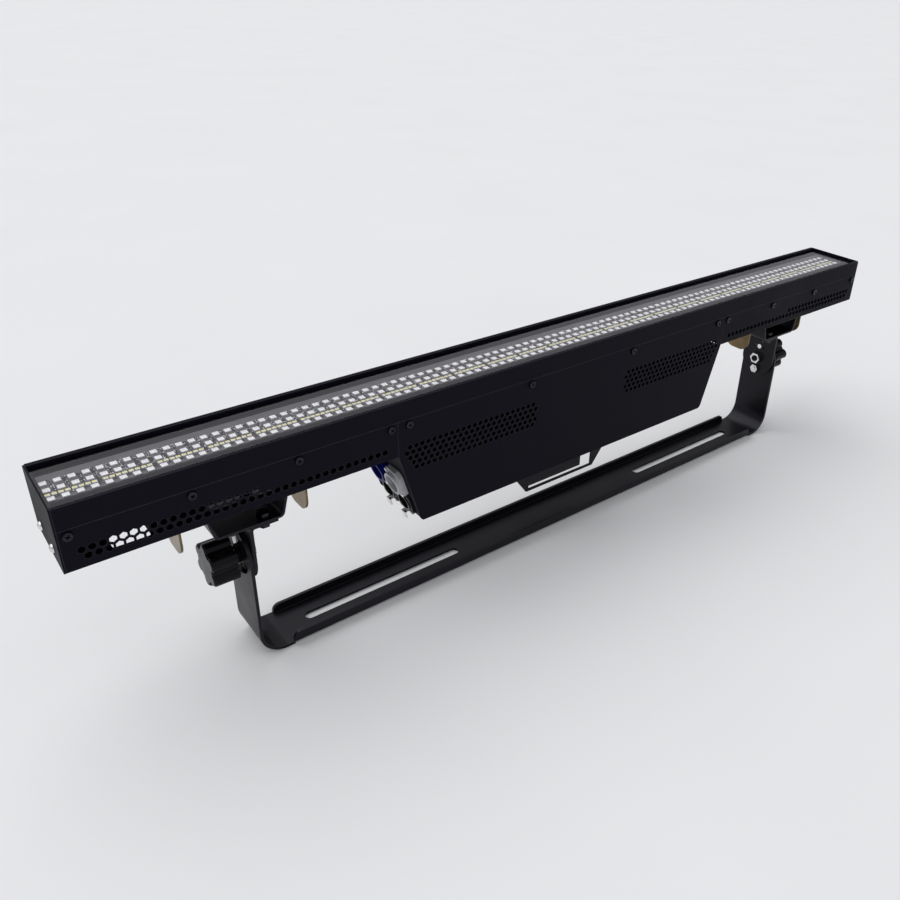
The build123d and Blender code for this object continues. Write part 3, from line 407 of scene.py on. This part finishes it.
def lathe(bm, profile, material=0):
    """A turned shape round Z from (radius, height) points, from top to bottom."""
    turns = [2 * math.pi * i / ROUND_SIDES for i in range(ROUND_SIDES)]
    rings = []
    for radius, height in profile:
        if radius == 0:
            rings.append([bm.verts.new((0, 0, height))])
        else:
            rings.append([bm.verts.new((radius * math.cos(a), radius * math.sin(a), height)) for a in turns])
    for upper, lower in zip(rings, rings[1:]):
        for i in range(ROUND_SIDES):
            j = (i + 1) % ROUND_SIDES
            spots = ((upper, i), (upper, j), (lower, j), (lower, i))
            corners = [ring[k % len(ring)] for ring, k in spots]
            unique = list(dict.fromkeys(corners))
            face = bm.faces.new(unique[::-1])
            face.material_index = material
            face.smooth = True


def stamped(bm, source, places):
    """Copies of a source mesh at many matrices."""
    for place in places:
        before = len(bm.verts)
        bm.from_mesh(source)
        bm.verts.ensure_lookup_table()
        bmesh.ops.transform(bm, matrix=place, verts=bm.verts[before:])


def cut_mesh(name, body_bm, cutter_bm):
    """The first shape less the second, as a mesh."""
    objects = []
    for shape in (body_bm, cutter_bm):
        obj = bpy.data.objects.new(name, finished_mesh(name, shape))
        bpy.context.scene.collection.objects.link(obj)
        objects.append(obj)
    base, cutter = objects
    modifier = base.modifiers.new("cut", "BOOLEAN")
    modifier.operation = "DIFFERENCE"
    modifier.object = cutter
    bpy.context.view_layer.update()
    result = bpy.data.meshes.new_from_object(base.evaluated_get(bpy.context.evaluated_depsgraph_get()))
    for obj in objects:
        bpy.data.objects.remove(obj)
    return result


def solid_places(node):
    """Lowest and highest corner of each separate solid of a CAD node, in a fixed order."""
    bm = bmesh.new()
    bm.from_mesh(NODES[node].data)
    bmesh.ops.remove_doubles(bm, verts=bm.verts, dist=0.001 * MM)
    left = set(bm.verts)
    boxes = []
    while left:
        front = [left.pop()]
        found = set(front)
        while front:
            vert = front.pop()
            for edge in vert.link_edges:
                other = edge.other_vert(vert)
                if other in left:
                    left.remove(other)
                    found.add(other)
                    front.append(other)
        low = Vector(min(v.co[i] for v in found) for i in range(3))
        high = Vector(max(v.co[i] for v in found) for i in range(3))
        boxes.append((low, high))
    bm.free()
    return sorted(boxes, key=lambda box: tuple(round(c, 5) for c in box[0]))


# ---------------------------------------------------------------- LED board
CHIP_MATERIALS = [CHIP_DARK, CHIP_TAN, TIN, TRACKS, CHIP_WHITE]
TRACK_TONE = CHIP_MATERIALS.index(TRACKS)
# A chip's material is drawn from these, so white ones are twice as common
CHIP_TONES = (0, 1, 2, 4, 4)


def led_mesh():
    """One LED package: bevelled white case, round lens in a shallow well, six leads."""
    body = bmesh.new()
    add_box(body, (0, 0, LED_HEIGHT / 2), (LED_SIZE, LED_SIZE, LED_HEIGHT), LED_EDGE)
    well = bmesh.new()
    bmesh.ops.create_cone(
        well, cap_ends=True, segments=ROUND_SIDES, radius1=WELL_FLOOR_R, radius2=WELL_R,
        depth=2 * LENS_DEPTH, matrix=Matrix.Translation((0, 0, LED_HEIGHT)),
    )
    bm = bmesh.new()
    bm.from_mesh(cut_mesh("led_case", body, well))
    floor = LED_HEIGHT - LENS_DEPTH
    shoulder_r, shoulder_rise = LENS_SHOULDER
    crown = [(0, floor + LENS_CROWN), (shoulder_r, floor + shoulder_rise), (WELL_FLOOR_R, floor + LENS_RIM)]
    lathe(bm, crown, material=1)
    for x in (-1, 0, 1):
        for y in (-1, 1):
            add_box(bm, (x * LEAD_PITCH, y * LED_SIZE / 2, LEAD_RISE), LEAD_SIZE, material=2)
    return finished_mesh("led", bm)


def board_sheet(low, high):
    """The bare board, as long and wide as the CAD board."""
    bm = bmesh.new()
    size = (high.x - low.x, high.y - low.y, BOARD_THICK)
    centre = ((low.x + high.x) / 2, (low.y + high.y) / 2, low.z + BOARD_THICK / 2)
    add_box(bm, centre, size, BOARD_EDGE)
    board = mesh_object("board_sheet", bm, [BOARD], "housing")
    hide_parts("led_board")


def led_packages(columns, front, top):
    """Rows of large LEDs, each a little askew."""
    places = []
    for row in LED_ROWS:
        for x in columns:
            skew = math.radians(random.uniform(-LED_SKEW_DEGREES, LED_SKEW_DEGREES))
            places.append(Matrix.Translation((x, front + row, top)) @ Matrix.Rotation(skew, 4, "Z"))
    bm = bmesh.new()
    stamped(bm, led_mesh(), places)
    mesh_object("led_packages", bm, [LED_CASE, LED_LENS, TIN], "housing")


def small_leds(start, front, top):
    """One row of small LEDs: a case with a flat lens on top."""
    bm = bmesh.new()
    y = front + SMALL_ROW
    group_pitch = GROUP_COLUMNS * COLUMN_PITCH
    for group in range(COLUMN_COUNT // GROUP_COLUMNS):
        for i in range(SMALL_PER_GROUP):
            x = start + group * group_pitch - LED_SIZE / 2 + SMALL_SIZE[0] / 2 + i * SMALL_PITCH
            add_box(bm, (x, y, top + SMALL_HEIGHT / 2), (*SMALL_SIZE, SMALL_HEIGHT), SMALL_EDGE)
            add_box(bm, (x, y, top + SMALL_HEIGHT), SMALL_LENS_SIZE, material=1)
    mesh_object("small_leds", bm, [SMALL_CASE, SMALL_LENS], "housing")


def board_chips(columns, front, top):
    """Dark tracks between the columns, and rows of chips scattered on them."""
    bm = bmesh.new()
    gaps = [x + COLUMN_PITCH / 2 for x in columns[:-1]]
    near, far = TRACK_SPAN
    for x in gaps:
        centre = (x, front + (near + far) / 2, top + TRACK_THICK / 2)
        add_box(bm, centre, (TRACK_WIDTH, far - near, TRACK_THICK), material=TRACK_TONE)
    for row, share in CHIP_ROWS:
        for x in gaps:
            for side in (-1, 1):
                if random.random() > share:
                    continue
                length, width, height = random.choice(CHIP_SIZES)
                if random.random() > CHIP_TURNED_SHARE:
                    length, width = width, length
                offset = random.uniform(*CHIP_OFFSET) * side
                y = front + row + random.uniform(-CHIP_SCATTER, CHIP_SCATTER)
                tone = random.choice(CHIP_TONES)
                add_box(bm, (x + offset, y, top + height / 2), (length, width, height), material=tone)
    mesh_object("board_chips", bm, CHIP_MATERIALS, "housing")


def build_leds():
    """Board, large LEDs, the row of small ones and the chips between them."""
    low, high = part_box("led_board")
    top = low.z + BOARD_THICK
    start = low.x + FIRST_COLUMN
    columns = [start + i * COLUMN_PITCH for i in range(COLUMN_COUNT)]
    board_sheet(low, high)
    led_packages(columns, low.y, top)
    small_leds(start, low.y, top)
    board_chips(columns, low.y, top)


build_leds()


# ---------------------------------------------------------------- screws
def cross_cutter(top):
    """Prism that cuts a cross recess, narrower at its floor."""
    half, arm = CROSS_LENGTH / 2, CROSS_WIDTH / 2
    outline = []
    for quarter in range(4):
        spin = Matrix.Rotation(quarter * math.pi / 2, 2)
        outline += [spin @ Vector(point) for point in ((half, -arm), (half, arm), (arm, arm))]
    bm = bmesh.new()
    upper = [bm.verts.new((*point, top + CROSS_DEPTH)) for point in outline]
    lower = [bm.verts.new((*(point * CROSS_TAPER), top - CROSS_DEPTH)) for point in outline]
    bm.faces.new(upper)
    bm.faces.new(lower[::-1])
    for i in range(len(outline)):
        j = (i + 1) % len(outline)
        bm.faces.new((lower[i], lower[j], upper[j], upper[i]))
    return bm


def pan_profile():
    """Outline of the pan head from its flat top over its rounded rim to its base."""
    rim = []
    for i in range(PAN_STEPS + 1):
        angle = math.pi / 2 * (1 - i / PAN_STEPS)
        radius = PAN_R - PAN_ROUND * (1 - math.cos(angle))
        height = PAN_HIGH - PAN_ROUND * (1 - math.sin(angle))
        rim.append((radius, height))
    return [(0, PAN_HIGH), *rim, (PAN_R, 0), (0, 0)]


def pan_mesh():
    """Pan head whose cross recess is painted near-black as painted shade, on a dark disc that is a painted
    contact shadow.
    """
    bm = bmesh.new()
    lathe(bm, pan_profile())
    head = cut_mesh("pan_head", bm, cross_cutter(PAN_HIGH))
    bm = bmesh.new()
    bm.from_mesh(head)
    # Faces inside the cross recess take the near-black material as painted shade.
    for face in bm.faces:
        spot = face.calc_center_median()
        if RECESS_FLOOR < spot.z < RECESS_TOP and spot.xy.length < RECESS_R:
            face.material_index = 1
    # A thin near-black disc under the head: a painted contact shadow.
    lathe(bm, [(0, SHADOW_DISC_HIGH), (SHADOW_DISC_R, SHADOW_DISC_EDGE), (SHADOW_DISC_R, 0), (0, 0)], material=1)
    return finished_mesh("pan", bm)


def dome_mesh():
    """Dome head, a slice of a ball, with a cross recess."""
    ball = (DOME_R ** 2 + DOME_HIGH ** 2) / (2 * DOME_HIGH)
    half = math.asin(DOME_R / ball)
    profile = []
    for i in range(DOME_STEPS + 1):
        angle = half * i / DOME_STEPS
        profile.append((ball * math.sin(angle), DOME_HIGH - ball + ball * math.cos(angle)))
    bm = bmesh.new()
    lathe(bm, [*profile, (0, 0)])
    return cut_mesh("dome_head", bm, cross_cutter(DOME_HIGH))


def head_places(node, axis, height):
    """Places for heads of one height on a node's screws, which point out along X (0) or Y (1)."""
    hinge, sign = ("Y", 1) if axis == 0 else ("X", -1)
    places = []
    for low, high in solid_places(node):
        seat = (low + high) / 2
        outward = 1 if seat[axis] > 0 else -1
        seat[axis] = high[axis] - height if outward > 0 else low[axis] + height
        turn = Matrix.Rotation(sign * outward * math.pi / 2, 4, hinge)
        spin = Matrix.Rotation(random.uniform(0, math.pi / 2), 4, "Z")
        places.append(Matrix.Translation(seat) @ turn @ spin)
    return places


def build_screws():
    """Heads with drive recesses where the cover screws and the end plate screws are."""
    bm = bmesh.new()
    stamped(bm, pan_mesh(), head_places("cover_screws", 1, PAN_HIGH))
    heads = mesh_object("cover_screw_heads", bm, [BLACK_STEEL, PAINTED_SCREW_SHADE], "housing")
    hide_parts("cover_screws")

    bm = bmesh.new()
    stamped(bm, dome_mesh(), head_places("end_plate_screws", 0, DOME_HIGH))
    heads = mesh_object("end_screw_heads", bm, [BRIGHT], "housing")
    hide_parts("end_plate_screws")


build_screws()


# ---------------------------------------------------------------- stage, light, camera
FLOOR_SIZE = 60.0
FLOOR_DROP = 0.2 * MM
FLOOR_TONES = ((0.80, 0.80, 0.81), (0.82, 0.82, 0.83))
BACKGROUND = (0.87, 0.87, 0.88)
WORLD_LIGHT = (0.95, 0.97, 1.0)
WORLD_STRENGTH = 0.45

# The camera's place in metres, its turn as a rotation vector, and its lens in the photograph's pixels
IMAGE_SIZE = 900
CAMERA_PLACE = (-0.570542, -0.611256, 0.572023)
CAMERA_TURN = (0.4889, -0.1329, 0.6771)
FOCAL_PX = 851.2674
CENTRE_PX = (520.6492, 417.0517)


def build_floor():
    """Plain pale floor."""
    bpy.ops.mesh.primitive_plane_add(size=FLOOR_SIZE, location=(0, 0, -FLOOR_DROP))
    floor = bpy.context.object
    floor.name = "floor"
    mat, shader = new_material("floor_paper")
    cloud = noise(mat, scale=3.0, detail=3.0, rough=0.5)
    join(mat, cloudy(mat, cloud, *FLOOR_TONES), shader.inputs["Base Color"])
    shader.inputs["Roughness"].default_value = 0.9
    floor.data.materials.append(mat)


def build_world():
    """Pale surroundings: bright to the camera, softer as a light and in reflections."""
    world = bpy.data.worlds.new("studio")
    bpy.context.scene.world = world
    world.use_nodes = True
    tree = world.node_tree
    seen = tree.nodes["Background"]
    seen.inputs["Color"].default_value = (*BACKGROUND, 1.0)
    seen.inputs["Strength"].default_value = 1.0
    lit = tree.nodes.new("ShaderNodeBackground")
    lit.inputs["Color"].default_value = (*WORLD_LIGHT, 1.0)
    lit.inputs["Strength"].default_value = WORLD_STRENGTH
    path = tree.nodes.new("ShaderNodeLightPath")
    mix = tree.nodes.new("ShaderNodeMixShader")
    tree.links.new(path.outputs["Is Camera Ray"], mix.inputs["Fac"])
    tree.links.new(lit.outputs["Background"], mix.inputs[1])
    tree.links.new(seen.outputs["Background"], mix.inputs[2])
    tree.links.new(mix.outputs["Shader"], tree.nodes["World Output"].inputs["Surface"])


def sun(name, source, strength, softness):
    """A far white light from a direction, with its width in degrees."""
    data = bpy.data.lights.new(name, "SUN")
    data.energy = strength
    data.angle = math.radians(softness)
    obj = bpy.data.objects.new(name, data)
    bpy.context.scene.collection.objects.link(obj)
    obj.rotation_mode = "QUATERNION"
    obj.rotation_quaternion = (-Vector(source)).to_track_quat("-Z", "Y")


def build_lights():
    """Soft studio light: broad from above and behind, with weak fills from the left and the front."""
    sun("overhead", source=(-0.25, 0.45, 1.0), strength=1.7, softness=70.0)
    sun("left_soft", source=(-1.0, -0.1, 0.75), strength=0.2, softness=50.0)
    sun("front_fill", source=(0.3, -1.0, 0.9), strength=0.2, softness=60.0)


def build_camera():
    """The photograph's viewpoint, fitted on the bar's edges."""
    half = IMAGE_SIZE / 2
    turn = Vector(CAMERA_TURN)
    level = Matrix(((1, 0, 0), (0, 0, -1), (0, 1, 0)))
    right, down, forward = level @ Matrix.Rotation(turn.length, 3, turn.normalized())
    data = bpy.data.cameras.new("camera")
    data.sensor_width = 36.0
    data.lens = FOCAL_PX / IMAGE_SIZE * data.sensor_width
    data.shift_x = (half - CENTRE_PX[0]) / IMAGE_SIZE
    data.shift_y = (CENTRE_PX[1] - half) / IMAGE_SIZE
    data.clip_start = 0.01
    data.clip_end = 100.0
    camera = bpy.data.objects.new("camera", data)
    bpy.context.scene.collection.objects.link(camera)
    axes = Matrix((right, -down, -forward)).transposed()
    camera.matrix_world = Matrix.Translation(CAMERA_PLACE) @ axes.to_4x4()
    bpy.context.scene.camera = camera


build_floor()
build_world()
build_lights()
build_camera()
bpy.context.scene.view_settings.view_transform = "Standard"
